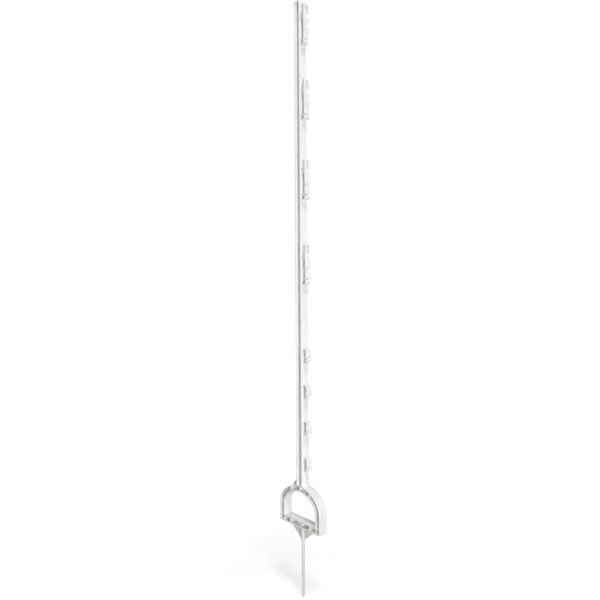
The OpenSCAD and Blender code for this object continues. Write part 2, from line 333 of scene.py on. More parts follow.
@dataclass(frozen=True)
class MouldedPolypropylene:
    """White polypropylene out of a polished mould.

    To the eye it is a clean, slightly cool white with a soft satin gloss. The melt leaves faint streaks along
    the post, broad shallow waves where it sank, and a hairline where the mould's two halves met.
    """

    name: str = "polypropylene_moulded_white"
    colour: str = "#f3f5f2"
    streak_colour: str = "#eaede9"
    roughness: float = 0.38
    streak_roughness: float = 0.5
    ior: float = 1.49
    wave_mm: float = 28.0
    wave_height_mm: float = 0.05
    # The mould's real grain is about 0.1 mm, too fine to show, so it is drawn ten times as coarse
    grain_mm: float = 1.0
    grain_height_mm: float = 0.006
    streak_mm: float = 9.0
    streak_length: float = 14.0
    # Part of the noise's range over which a streak fades in
    streak_band: Point = (0.42, 0.68)
    parting_mm: float = 0.16
    parting_height_mm: float = 0.05

    def build(self) -> bpy.types.Material:
        """Build the material.

        Returns:
            The node-based material.
        """
        material = bpy.data.materials.new(self.name)
        material.use_nodes = True
        tree = material.node_tree
        tree.nodes.clear()
        place = add_node(tree, "ShaderNodeTexCoord").outputs["Object"]
        waves, grain = (
            add_node(tree, "ShaderNodeTexNoise", {"Vector": place, "Scale": 1 / (size * MM), "Detail": fine})
            for size, fine in ((self.wave_mm, 1.0), (self.grain_mm, 2.0))
        )
        drawn_out = add_node(
            tree, "ShaderNodeMapping", {"Vector": place, "Scale": (1, 1, 1 / self.streak_length)},
        ).outputs[0]
        streaks = add_node(
            tree, "ShaderNodeTexNoise",
            {"Vector": drawn_out, "Scale": 1 / (self.streak_mm * MM), "Detail": 3.0},
        ).outputs[0]
        first, last = self.streak_band
        share = add_node(
            tree, "ShaderNodeMapRange", {"Value": streaks, "From Min": first, "From Max": last},
        ).outputs[0]
        gloss = add_node(
            tree, "ShaderNodeMapRange",
            {"Value": share, "To Min": self.roughness, "To Max": self.streak_roughness},
        )
        colour = add_node(
            tree, "ShaderNodeMix",
            {0: share, 6: linear(self.colour), 7: linear(self.streak_colour)}, data_type="RGBA",
        )
        split = add_node(tree, "ShaderNodeSeparateXYZ", {"Vector": place})
        off_middle = maths(tree, "ABSOLUTE", split.outputs["Y"])
        hairline = add_node(
            tree, "ShaderNodeMapRange",
            {"Value": off_middle, "From Max": self.parting_mm * MM, "To Min": 1.0, "To Max": 0.0},
        )
        bump = None
        for height, depth in (
            (waves.outputs[0], self.wave_height_mm), (grain.outputs[0], self.grain_height_mm),
            (hairline.outputs[0], self.parting_height_mm),
        ):
            links = {"Height": height, "Distance": depth * MM}
            if bump is not None:
                links["Normal"] = bump.outputs[0]
            bump = add_node(tree, "ShaderNodeBump", links)
        shader = add_node(
            tree, "ShaderNodeBsdfPrincipled",
            {
                "Base Color": colour.outputs[2], "Roughness": gloss.outputs[0], "IOR": self.ior,
                "Normal": bump.outputs[0],
            },
        )
        add_node(tree, "ShaderNodeOutputMaterial", {"Surface": shader.outputs[0]})
        return material


@dataclass(frozen=True)
class ZincPlatedSteel:
    """Steel wire rod, drawn and then plated with bright zinc.

    To the eye it is a cool silver that mirrors the room softly, with fine marks along the rod from the
    drawing die and a faint cloudiness in the plating.
    """

    name: str = "steel_drawn_zinc_plated"
    colour: str = "#ccd1db"
    cloud_colour: str = "#bfc5d1"
    roughness: float = 0.3
    mark_roughness: float = 0.46
    # Part of the noise's range over which a mark fades in
    mark_band: Point = (0.3, 0.7)
    # Real draw marks are about 0.1 mm wide, so they are drawn eight times as coarse to show
    mark_mm: float = 0.8
    mark_length: float = 45.0
    mark_height_mm: float = 0.01
    cloud_mm: float = 11.0

    def build(self) -> bpy.types.Material:
        """Build the material.

        Returns:
            The node-based material.
        """
        material = bpy.data.materials.new(self.name)
        material.use_nodes = True
        tree = material.node_tree
        tree.nodes.clear()
        place = add_node(tree, "ShaderNodeTexCoord").outputs["Object"]
        drawn_out = add_node(
            tree, "ShaderNodeMapping", {"Vector": place, "Scale": (1, 1, 1 / self.mark_length)},
        ).outputs[0]
        marks, clouds = (
            add_node(tree, "ShaderNodeTexNoise", {"Vector": vector, "Scale": 1 / (size * MM), "Detail": 2.0})
            for vector, size in ((drawn_out, self.mark_mm), (place, self.cloud_mm))
        )
        colour = add_node(
            tree, "ShaderNodeMix",
            {0: clouds.outputs[0], 6: linear(self.colour), 7: linear(self.cloud_colour)}, data_type="RGBA",
        )
        first, last = self.mark_band
        gloss = add_node(
            tree, "ShaderNodeMapRange",
            {
                "Value": marks.outputs[0], "From Min": first, "From Max": last,
                "To Min": self.roughness, "To Max": self.mark_roughness,
            },
        )
        bump = add_node(
            tree, "ShaderNodeBump", {"Height": marks.outputs[0], "Distance": self.mark_height_mm * MM},
        )
        shader = add_node(
            tree, "ShaderNodeBsdfPrincipled",
            {
                "Base Color": colour.outputs[2], "Metallic": 1.0, "Roughness": gloss.outputs[0],
                "Normal": bump.outputs[0],
            },
        )
        add_node(tree, "ShaderNodeOutputMaterial", {"Surface": shader.outputs[0]})
        return material


@dataclass
class Stirrup:
    """The foot stirrup: a closed band of I-section with ribs, and the round pad in its foot bar."""

    ground: float = 36.0
    width: float = 152.0
    depth: float = 27.0
    side_height: float = 49.0
    arch_rise: float = 59.0
    side_radius: float = 45.0
    band: float = 16.0
    rim: float = 3.0
    web: float = 3.2
    rib: float = 2.6
    rib_set_back: float = 0.8
    rib_angle: float = 26.0
    crown_rib_count: int = 3
    bar_rib_x: float = 37.0
    pad_width: float = 18.0
    pad_depth: float = 6.0
    corner: float = 1.2
    edge: float = 0.35
    root: float = 1.1
    draft: float = 0.15
    # Chords of a foot corner, of a side arc and of the crown
    chords: tuple[int, int, int] = (4, 20, 36)

    @property
    def side_x(self) -> float:
        """Distance from the axis to the centres of the side arcs."""
        return self.width / 2 - self.side_radius

    @property
    def crown_radius(self) -> float:
        """Radius of the crown, whose arc meets both side arcs in a common tangent."""
        rise, side = self.arch_rise, self.side_radius
        return (self.side_x**2 + rise**2 - side**2) / (2 * (rise - side))

    @property
    def crown_centre(self) -> float:
        """Height of the crown's centre above the origin."""
        return self.ground + self.side_height + self.arch_rise - self.crown_radius

    @property
    def apex(self) -> float:
        """Height of the top of the arch."""
        return self.ground + self.side_height + self.arch_rise

    def arch_z(self, x: float, inset: float = 0.0) -> float:
        """Give the height of the crown's arc.

        Args:
            x: Distance from the axis.
            inset: Distance from the outer face.

        Returns:
            Height above the origin.
        """
        return self.crown_centre + math.sqrt((self.crown_radius - inset) ** 2 - x**2)

    def outline(self, inset: float) -> list[Point]:
        """Draw the stirrup's outline at a distance from its outer face.

        Args:
            inset: Distance from the outer face.

        Returns:
            Points in X and Z, as many for every inset.
        """
        reach = self.width / 2 - inset - self.corner
        foot = self.ground + inset + self.corner
        shoulder = self.ground + self.side_height
        lean = 90 - math.degrees(math.atan2(self.side_x, shoulder - self.crown_centre))
        side = self.side_radius - inset
        crown = self.crown_radius - inset
        few, some, many = self.chords
        return (
            arc((reach, foot), self.corner, -90, 0, few)
            + arc((self.side_x, shoulder), side, 0, lean, some)
            + arc((0, self.crown_centre), crown, lean, 180 - lean, many)[1:-1]
            + arc((-self.side_x, shoulder), side, 180 - lean, 180, some)
            + arc((-reach, foot), self.corner, 180, 270, few)
        )

    def section(self) -> list[Point]:
        """Draw the band's I-section.

        Returns:
            Points as distance from the outer face, and Y.
        """
        half, web = self.depth / 2, self.web / 2
        thin, thick = self.rim - self.draft, self.rim + self.draft
        quarter = [
            (0, half, self.edge), (thin, half, self.edge), (thick, web, self.root),
            (self.band - thick, web, self.root), (self.band - thin, half, self.edge),
            (self.band, half, self.edge),
        ]
        return rounded(quarter + [(d, -y, r) for d, y, r in reversed(quarter)])

    def band_form(self) -> bmesh.types.BMesh:
        """Sweep the I-section round the stirrup.

        Returns:
            The closed band.
        """
        loops = [(self.outline(d), y) for d, y in self.section()]
        rings = [[Vector((x, y, z)) for x, z in loop] for loop, y in loops]
        return loft(rings, endless=True)

    def bar(self, x0: float, x1: float, z0: float, z1: float) -> bpy.types.Object:
        """Make one straight rib between the rims.

        Args:
            x0: Left side.
            x1: Right side.
            z0: Lower side.
            z1: Upper side.

        Returns:
            The rib.
        """
        half = self.depth / 2 - self.rib_set_back
        form = prism([(x0, z0), (x1, z0), (x1, z1), (x0, z1)], -half, half, self.edge)
        return to_object(form, "rib")

    def pad(self) -> bpy.types.Object:
        """Make the round pad under the foot bar's upper rim.

        Returns:
            The pad.
        """
        reach, drop = self.pad_width / 2, self.pad_depth
        radius = (reach**2 + drop**2) / (2 * drop)
        top = self.ground + self.band - self.rim
        lid = top + self.rim / 2
        spread = math.degrees(math.asin(reach / radius))
        half = self.depth / 2 - self.rib_set_back
        curve = arc((0, top - drop + radius), radius, -90 - spread, -90 + spread)
        form = prism(curve + [(reach, lid), (-reach, lid)], -half, half, self.edge)
        return to_object(form, "pad")

    def ribs(self, finish: bpy.types.Material) -> list[bpy.types.Object]:
        """Make every rib, the corner dividers and the pad.

        Args:
            finish: Material of the moulding.

        Returns:
            The closed pieces, which reach into the rims.
        """
        bite = self.rim / 2
        half_w, rib, g = self.width / 2, self.rib / 2, self.ground
        inner = g + self.band
        pieces = [self.pad()]
        for side in (-1, 1):
            xs = sorted((side * (half_w - bite), side * (half_w - self.band + bite)))
            pieces.append(self.bar(xs[0], xs[1], g + self.side_height - rib, g + self.side_height + rib))
            pieces.append(self.bar(xs[0], xs[1], inner - self.rim, inner))
            x = side * (half_w - self.band + self.rim / 2)
            pieces.append(self.bar(x - self.rim / 2, x + self.rim / 2, g + bite, inner - bite))
            x = side * self.bar_rib_x
            pieces.append(self.bar(x - rib, x + rib, g + bite, inner - bite))
        pieces.append(self.crown_ribs(finish))
        return pieces

    def crown_ribs(self, finish: bpy.types.Material) -> bpy.types.Object:
        """Fan the crown's ribs out with Geometry Nodes.

        Args:
            finish: Material of the moulding.

        Returns:
            The ribs as one plain mesh.
        """
        bite, rib = self.rim / 2, self.rib / 2
        one = self.bar(-rib, rib, bite - self.band, -bite)
        tree = bpy.data.node_groups.new("crown_ribs", "GeometryNodeTree")
        sizes = {
            "Count": ("NodeSocketInt", self.crown_rib_count),
            "Step": ("NodeSocketFloat", math.radians(self.rib_angle)),
            "Radius": ("NodeSocketFloat", self.crown_radius * MM),
            "Centre": ("NodeSocketFloat", self.crown_centre * MM),
        }
        inputs = group_inputs(tree, sizes)
        index = add_node(tree, "GeometryNodeInputIndex")
        last = maths(tree, "SUBTRACT", inputs["Count"], 1)
        place = maths(tree, "SUBTRACT", index.outputs[0], maths(tree, "MULTIPLY", last, 0.5))
        angle = maths(tree, "MULTIPLY", place, inputs["Step"])
        x = maths(tree, "MULTIPLY", maths(tree, "SINE", angle), inputs["Radius"])
        z = maths(tree, "MULTIPLY_ADD", maths(tree, "COSINE", angle), inputs["Radius"], inputs["Centre"])
        position = add_node(tree, "ShaderNodeCombineXYZ", {"X": x, "Z": z})
        turn = add_node(tree, "ShaderNodeCombineXYZ", {"Y": angle})
        return repeat(tree, one, finish, sizes, inputs["Count"], position.outputs[0], turn.outputs[0])

    def build(self, finish: bpy.types.Material) -> list[bpy.types.Object]:
        """Build the stirrup.

        Args:
            finish: Material of the moulding.

        Returns:
            The closed pieces, ready to be fused.
        """
        return [to_object(self.band_form(), "band")] + self.ribs(finish)


def group_inputs(
    tree: bpy.types.NodeTree, sizes: dict[str, tuple[str, float]],
) -> dict[str, bpy.types.NodeSocket]:
    """Give a tree its named inputs and its output.

    Args:
        tree: Geometry Nodes tree.
        sizes: Name of each input, with its type and value.

    Returns:
        The group input's sockets by name.
    """
    tree.interface.new_socket(name="Geometry", in_out="OUTPUT", socket_type="NodeSocketGeometry")
    tree.interface.new_socket(name="Part", in_out="INPUT", socket_type="NodeSocketObject")
    tree.interface.new_socket(name="Finish", in_out="INPUT", socket_type="NodeSocketMaterial")
    for name, (kind, _value) in sizes.items():
        tree.interface.new_socket(name=name, in_out="INPUT", socket_type=kind)
    entry = add_node(tree, "NodeGroupInput")
    return {socket.name: socket for socket in entry.outputs if socket.name}


def repeat(
    tree: bpy.types.NodeTree, part: bpy.types.Object, finish: bpy.types.Material,
    sizes: dict[str, tuple[str, float]], count: bpy.types.NodeSocket, position: bpy.types.NodeSocket,
    turn: bpy.types.NodeSocket | None = None,
) -> bpy.types.Object:
    """Complete a tree that repeats a part, and turn its result into a plain mesh.

    Args:
        tree: Tree with its inputs made, whose name the new piece takes.
        part: Part to repeat, which is used up.
        finish: Material of the copies.
        sizes: Inputs of the tree, as group_inputs takes them.
        count: Number of copies.
        position: Place of each copy.
        turn: Rotation of each copy, or None.

    Returns:
        The copies as one plain mesh.
    """
    entry = next(n for n in tree.nodes if n.type == "GROUP_INPUT")
    points = add_node(tree, "GeometryNodePoints", {"Count": count, "Position": position})
    source = add_node(tree, "GeometryNodeObjectInfo", {"Object": entry.outputs["Part"]})
    links = {"Points": points.outputs[0], "Instance": source.outputs["Geometry"]}
    if turn is not None:
        links["Rotation"] = turn
    copies = add_node(tree, "GeometryNodeInstanceOnPoints", links)
    real = add_node(tree, "GeometryNodeRealizeInstances", {"Geometry": copies.outputs[0]})
    dressed = add_node(
        tree, "GeometryNodeSetMaterial", {"Geometry": real.outputs[0], "Material": entry.outputs["Finish"]},
    )
    add_node(tree, "NodeGroupOutput", {"Geometry": dressed.outputs[0]})
    piece = bpy.data.objects.new(tree.name, bpy.data.meshes.new(tree.name))
    bpy.context.scene.collection.objects.link(piece)
    modifier = piece.modifiers.new(tree.name, "NODES")
    modifier.node_group = tree
    identifiers = {s.name: s.identifier for s in tree.interface.items_tree if s.in_out == "INPUT"}
    modifier[identifiers["Part"]] = part
    modifier[identifiers["Finish"]] = finish
    for size, (_kind, value) in sizes.items():
        modifier[identifiers[size]] = value
    bake(piece)
    bpy.data.objects.remove(part)
    return piece


@dataclass
class Shaft:
    """The tapered shaft: two flanges, the web between them, the cap, and the thin braces at its foot."""

    stirrup: Stirrup
    top: float = 1410.0
    width_low: float = 22.4
    width_top: float = 18.2
    depth_low: float = 27.0
    depth_top: float = 22.0
    flange: float = 2.6
    web: float = 3.2
    cap: float = 6.0
    cap_radius: float = 6.0
    # The cap's first rings: the arc's first angle, and how far the straight ring is lifted
    cap_angle: float = 6.0
    cap_lift: float = 0.01
    rings: int = 12
    fillet: float = 5.0
    fillet_inset: float = 0.03
    fillet_edge: float = 0.3
    bite: float = 1.0
    brace: float = 3.0
    brace_top: float = 166.0
    brace_reach: float = 42.0
    brace_edge: float = 0.4
    edge: float = 0.32
    root: float = 1.1
    draft: float = 0.12

    @property
    def foot(self) -> float:
        """Height at which the shaft's low sizes count."""
        return self.stirrup.apex - self.stirrup.band / 2

    def share(self, z: float) -> float:
        """Give the share of the taper at a height."""
        return (z - self.foot) / (self.top - self.cap_radius - self.foot)

    def width(self, z: float) -> float:
        """Give the width across the flanges at a height."""
        return self.width_low + (self.width_top - self.width_low) * self.share(z)

    def depth(self, z: float) -> float:
        """Give the depth from front to back at a height."""
        return self.depth_low + (self.depth_top - self.depth_low) * self.share(z)

    def section(self, z: float) -> list[Vector]:
        """Draw the shaft's I-section at a height.

        Args:
            z: Height above the origin.

        Returns:
            Points of the section.
        """
        out, half, web = self.width(z) / 2, self.depth(z) / 2, self.web / 2
        thin, thick = out - self.flange + self.draft, out - self.flange - self.draft
        quarter = [(out, half, self.edge), (thin, half, self.edge), (thick, web, self.root)]
        upper = quarter + [(-x, y, r) for x, y, r in reversed(quarter)]
        ring = upper + [(-x, -y, r) for x, y, r in upper]
        return [Vector((x, y, z)) for x, y in rounded(ring)]

    def body(self) -> bpy.types.Object:
        """Loft the I-section from inside the arch to inside the cap.

        Returns:
            The flanges and the web.
        """
        low = self.stirrup.apex - 2 * self.stirrup.rim / 3
        high = self.top - self.cap + self.edge
        heights = [low + (high - low) * i / self.rings for i in range(self.rings + 1)]
        return to_object(loft([self.section(z) for z in heights]), "shaft")

    def cap_block(self) -> bpy.types.Object:
        """Make the cap that closes the pockets, with its edges rounded in both directions.

        Returns:
            The cap.
        """
        r = self.cap_radius
        start = self.top - self.cap
        spring = self.top - r
        curve = [(r - x, z) for x, z in arc((0, spring), r, self.cap_angle, 90)]
        rings = []
        for inset, z in [(self.edge, start), (0.0, max(start, spring) + self.cap_lift)] + curve:
            level = min(z, spring)
            x, y = self.width(level) / 2 - inset, self.depth(level) / 2 - inset
            corners = [(x, y, self.edge), (-x, y, self.edge), (-x, -y, self.edge), (x, -y, self.edge)]
            rings.append([Vector((px, py, z)) for px, py in rounded(corners)])
        return to_object(loft(rings), "cap")

    def foot_fillet(self, side: int) -> bpy.types.Object:
        """Make the rounded foot where a flange runs into the crown.

        Args:
            side: 1 for the right flange, -1 for the left one.

        Returns:
            The fillet.
        """
        r = self.fillet
        x = self.width(self.stirrup.apex + r) / 2
        z = self.stirrup.arch_z(x + r)
        curve = arc((x + r, z + r), r, 180, 270)
        bite = self.bite
        outline = curve + [(x + r, z - bite), (x - bite, z - bite), (x - bite, z + r)]
        half = self.depth(self.stirrup.apex) / 2 - self.fillet_inset
        form = prism([(side * px, pz) for px, pz in outline], -half, half, self.fillet_edge)
        return to_object(form, "foot_fillet")

    def braces(self) -> list[bpy.types.Object]:
        """Make the thin webs in the middle plane that brace the shaft on the arch.

        Returns:
            The brace on each side, as one plate.
        """
        half, reach = self.brace / 2, self.brace_reach
        radius = self.stirrup.crown_radius - self.stirrup.rim / 2
        tip = self.width(self.brace_top) / 2
        spread = math.degrees(math.asin(reach / radius))
        under = arc((0, self.stirrup.crown_centre), radius, 90 - spread, 90 + spread)
        over = self.stirrup.arch_z(reach)
        outline = [(-reach, over), (-tip, self.brace_top), (tip, self.brace_top), (reach, over)]
        return [to_object(prism(outline + under, -half, half, self.brace_edge), "brace")]

    def build(self) -> list[bpy.types.Object]:
        """Build the shaft.

        Returns:
            The closed pieces, ready to be fused.
        """
        fillets = [self.foot_fillet(side) for side in (-1, 1)]
        return [self.body(), self.cap_block()] + fillets + self.braces()


@dataclass
class Boss:
    """The boss that holds the spike, and the thin braces beside it under the foot bar."""

    stirrup: Stirrup
    diameter_low: float = 12.0
    diameter_top: float = 13.0
    brace: float = 3.0
    brace_span: float = 50.0
    brace_foot: float = 2.0
    brace_edge: float = 0.4
    edge: float = 0.6
    bore: float = 8.4
    bore_depth: float = 49.0
    bore_past: float = 1.0
    sides: int = 72

    def ring(self, radius: float, z: float) -> list[Vector]:
        """Draw one ring of points round the axis."""
        turns = [2 * math.pi * i / self.sides for i in range(self.sides)]
        return [Vector((radius * math.cos(a), radius * math.sin(a), z)) for a in turns]

    def build(self) -> list[bpy.types.Object]:
        """Build the boss and its braces.

        Returns:
            The closed pieces, ready to be fused.
        """
        ground, e = self.stirrup.ground, self.edge
        top = ground + self.stirrup.band - self.stirrup.rim / 2
        low = self.diameter_low / 2
        lip = [self.ring(r, z) for r, z in arc((low - e, e), e, -90, 0)]
        body = loft(lip + [self.ring(self.diameter_top / 2, ground), self.ring(self.diameter_top / 2, top)])
        half, span, over = self.brace / 2, self.brace_span, ground + self.stirrup.rim / 2
        outline = [
            (-span, over), (span, over), (span, ground), (low, self.brace_foot), (-low, self.brace_foot),
            (-span, ground),
        ]
        plate = prism(outline, -half, half, self.brace_edge)
        return [to_object(body, "boss"), to_object(plate, "lower_brace")]

    def bore_form(self) -> bpy.types.Object:
        """Make the bore that the spike's grip fills.

        Returns:
            The bore as a closed form.
        """
        rings = [self.ring(self.bore / 2, z) for z in (-self.bore_past, self.bore_depth)]
        return to_object(loft(rings), "bore")


@dataclass
class Spike:
    """The steel ground spike: a round rod with a blunt point, whose grooved grip is held in the boss."""

    diameter: float = 8.0
    length: float = 150.0
    point: float = 9.0
    point_diameter: float = 1.6
    point_rounding: float = 0.5
    shoulder_rounding: float = 4.0
    # The rod's last straight stretch under the boss, and the step from it to the grip
    neck: float = 1.0
    step: float = 0.02
    grip: float = 8.4
    grip_length: float = 49.0
    groove: float = 0.6
    groove_width: float = 4.0
    grooves: int = 3
    sides: int = 96

    def profile(self) -> list[Point]:
        """Draw half of the spike's section.

        Returns:
            Radius and height of each ring, from the point up.
        """
        rod, tip, grip = self.diameter / 2, self.point_diameter / 2, self.grip / 2
        lower = rounded([
            (0, -self.length, 0), (tip, -self.length, self.point_rounding),
            (rod, self.point - self.length, self.shoulder_rounding), (rod, -self.neck, 0),
            (rod, -self.step, 0), (0, -self.step, 0),
        ])[1:-1]
        pitch = self.grip_length / (self.grooves + 1)
        upper: list[Point] = [(grip, 0)]
        for i in range(1, self.grooves + 1):
            low, high = i * pitch - self.groove_width / 2, i * pitch + self.groove_width / 2
            upper += [(grip, low), (grip - self.groove, low), (grip - self.groove, high), (grip, high)]
        return lower + upper + [(grip, self.grip_length)]

    def build(self, finish: bpy.types.Material) -> bpy.types.Object:
        """Build the spike.

        Args:
            finish: Material of the spike.

        Returns:
            The piece, riding on its body in place of its CAD node.
        """
        turns = [2 * math.pi * i / self.sides for i in range(self.sides)]
        rings = [[Vector((r * math.cos(a), r * math.sin(a), z)) for a in turns] for r, z in self.profile()]
        piece = to_object(loft(rings), "spike_rod")
        shade(piece)
        piece.data.materials.append(finish)
        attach(piece, "root")
        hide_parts("ground_spike")
        LOG.info("%s: %d faces", piece.name, len(piece.data.polygons))
        return piece


@dataclass
class ClipSizes:
    """Sizes that all clips share. The X axis starts on the shaft's face."""

    width: float = 18.0
    reach: float = 15.3
    plate: float = 3.0
    arm: float = 2.6
    root: float = 1.5
    end: float = 1.0
    edge: float = 0.4
    # Fillet between an arm and the shaft, and how deep in the shaft's sloping face it starts
    fillet: float = 1.2
    sink: float = 0.15
    tip_flat: float = 0.05
    # How far a form that trims a clip reaches past it
    past: float = 1.0

    @property
    def inner(self) -> float:
        """Distance from the shaft's face to the inside of the outer plate."""
        return self.reach - self.plate

    @property
    def tip(self) -> float:
        """Radius of a plate's free end, a little under half of the plate."""
        return self.plate / 2 - self.tip_flat

    def foot(self, z: float, side: int) -> list[Corner]:
        """Round the corner between an arm's side and the shaft's face.

        Args:
            z: Height of the arm's side.
            side: 1 where the side faces up, -1 where it faces down.

        Returns:
            Corners from inside the shaft to the rounded one.
        """
        spread = z + side * (self.fillet + 2 * self.edge)
        return [(-self.root, spread, 0), (-self.sink, spread, 0), (-self.sink, z, self.fillet)]


@dataclass
class TapeClip:
    """An upper clip: cord cup and keeper, tape slot with a diagonal slit, and the curl below it."""

    sizes: ClipSizes = field(default_factory=ClipSizes)
    slot: float = 54.0
    top_radius: float = 8.0
    low_radius: float = 4.0
    slit_drop: float = 34.0
    slit_rise: float = 14.0
    slit_width: float = 2.0
    slit_flare: float = 3.6
    curl_drop: float = 16.0
    curl_gap: float = 1.8
    curl_radius: float = 7.6
    cup_floor: float = 13.7
    cup_depth: float = 19.3
    cup_width: float = 6.0
    cup_radius: float = 8.0
    keeper_reach: float = 17.0
    keeper_width: float = 6.5
    keeper_drop: float = 23.0
    keeper_tip: float = 3.8
    keeper_root: float = 6.5

    def slot_outline(self) -> list[Point]:
        """Draw the slot's wall: two arms and the outer plate."""
        s = self.sizes
        inner_r = max(self.top_radius - s.plate, s.end)
        outside = s.foot(-self.slot - s.arm, -1) + [
            (s.reach, -self.slot - s.arm, self.low_radius), (s.reach, s.arm, self.top_radius),
        ] + s.foot(s.arm, 1)[::-1]
        inside = s.foot(0, -1) + [
            (s.inner, 0, inner_r), (s.inner, -self.slot, s.end),
        ] + s.foot(-self.slot, 1)[::-1]
        return rounded(outside + inside)

    def slot_lip(self, lip: Lip) -> bpy.types.Object:
        """Make the part of the slot's wall on one side of the slit.

        Args:
            lip: Which side of the slit.

        Returns:
            The closed piece.
        """
        s = self.sizes
        half = s.width / 2
        form = prism(self.slot_outline(), -half, half)
        front = -self.slit_drop + lip.value * self.slit_width / 2
        back = front + self.slit_rise + (self.slit_flare if lip is Lip.UPPER else 0)
        along = Vector((0, s.width, back - front)).normalized()
        away = Vector((0, along.z, -along.y)) * lip.value
        slice_off(form, Vector((0, -half, front)), away)
        return to_object(soften(form, s.edge), "slot_lip")

    def curl(self) -> bpy.types.Object:
        """Make the round cup below the slot."""
        s = self.sizes
        low = -self.slot - self.curl_drop
        lip = -self.slot - s.arm - self.curl_gap
        inner_r = max(self.curl_radius - s.plate, s.end)
        wall = [
            (s.reach, low, self.curl_radius), (s.reach, lip, s.tip), (s.inner, lip, s.tip),
            (s.inner, low + s.plate, inner_r),
        ]
        outline = rounded(s.foot(low, -1) + wall + s.foot(low + s.plate, 1)[::-1])
        return to_object(prism(outline, -s.width / 2, s.width / 2, s.edge), "curl")

    def cup(self) -> bpy.types.Object:
        """Make the cord's cup in front of the keeper."""
        s = self.sizes
        bottom = s.arm / 2 - self.top_radius
        lip = self.cup_floor + self.cup_depth
        slot_r = max(self.top_radius - s.plate, s.end)
        wall = [
            (-s.root, 0, 0), (s.inner, 0, slot_r), (s.inner, bottom, 0), (s.reach, bottom, 0),
            (s.reach, lip, s.tip), (s.inner, lip, s.tip), (s.inner, self.cup_floor, self.cup_radius),
        ]
        outline = rounded(wall + s.foot(self.cup_floor, 1)[::-1])
        half = s.width / 2
        return to_object(prism(outline, -half, self.cup_width - half, s.edge), "cup")

    def keeper(self) -> bpy.types.Object:
        """Make the hook behind the cup that hangs down over the cord."""
        s = self.sizes
        top = self.cup_floor + self.cup_depth
        tip = top - self.keeper_drop
        under = top - s.arm - s.end
        wall = [
            (self.keeper_reach - self.keeper_root, under, s.end),
            (self.keeper_reach - self.keeper_tip, tip, s.end),
            (self.keeper_reach, tip, s.end), (self.keeper_reach, top, s.arm),
        ]
        outline = rounded(s.foot(under, -1) + wall + s.foot(top, 1)[::-1])
        half = s.width / 2
        return to_object(prism(outline, half - self.keeper_width, half, s.edge), "keeper")

    def build(self) -> bpy.types.Object:
        """Build one clip with z = 0 at the top of the slot and x = 0 on the shaft's face."""
        others = [self.slot_lip(Lip.LOWER), self.curl(), self.cup(), self.keeper()]
        return combine(self.slot_lip(Lip.UPPER), others, Operation.JOIN)


@dataclass
class CordHook:
    """A lower clip: an upper lip, a diagonal slit and a prouder lower lip with a seat for the cord."""

    sizes: ClipSizes = field(default_factory=ClipSizes)
    height: float = 44.6
    ramp: float = 8.0
    seat_z: float = 5.4
    seat_x: float = 5.0
    seat_back: float = 3.6
    seat_rise: float = 14.0
    seat_radius: float = 16.0
    arm: float = 7.0
    slit_z: float = 13.0
    slit_rise: float = 14.0
    slit_width: float = 2.4
    lip_proud: float = 1.7

    def lip(self, lip: Lip) -> bpy.types.Object:
        """Make the part of the hook on one side of the slit.

        Args:
            lip: Which side of the slit.

        Returns:
            The closed piece.
        """
        s, h = self.sizes, self.height
        reach = s.reach if lip is Lip.UPPER else s.reach + self.lip_proud
        inner = reach - s.plate
        outside = rounded([
            (-s.root, 0, 0), (0, 0, 0), (reach, self.ramp, s.end), (reach, h - self.ramp, s.plate), (0, h, 0),
            (-s.root, h, 0),
        ])
        back = self.seat_z + self.seat_back
        inside = rounded(s.foot(h - self.arm, -1) + [
            (inner, h - self.arm, s.plate), (inner, self.seat_z + self.seat_rise, self.seat_radius),
            (self.seat_x, self.seat_z, s.end), (0, back, 0), (-s.root, back, 0),
        ])
        half = s.width / 2
        body = to_object(prism(outside + inside, -half, half), "hook")
        combine(body, [self.rounded_ends(reach)], Operation.KEEP_COMMON)
        form = bmesh.new()
        form.from_mesh(body.data)
        form.transform(Matrix.Scale(1 / MM, 4))
        bpy.data.objects.remove(body)
        front = self.slit_z + lip.value * self.slit_width / 2
        along = Vector((0, s.width, self.slit_rise)).normalized()
        away = Vector((0, along.z, -along.y)) * lip.value
        slice_off(form, Vector((0, -half, front)), away)
        bmesh.ops.remove_doubles(form, verts=form.verts, dist=WELD)
        return to_object(soften(form, s.edge), "hook_lip")

    def rounded_ends(self, reach: float) -> bpy.types.Object:
        """Make the form that rounds a hook's ends as seen from the side."""
        s, h = self.sizes, self.height
        half = s.width / 2
        ring = arc((0, half), half, 180, 360) + arc((0, h - half), half, 0, 180)
        xs = (-s.root - s.past, reach + s.past)
        return to_object(loft([[Vector((x, y, z)) for y, z in ring] for x in xs]), "ends")

    def build(self) -> bpy.types.Object:
        """Build one hook with z = 0 at its foot and x = 0 on the shaft's face."""
        return combine(self.lip(Lip.UPPER), [self.lip(Lip.LOWER)], Operation.JOIN)


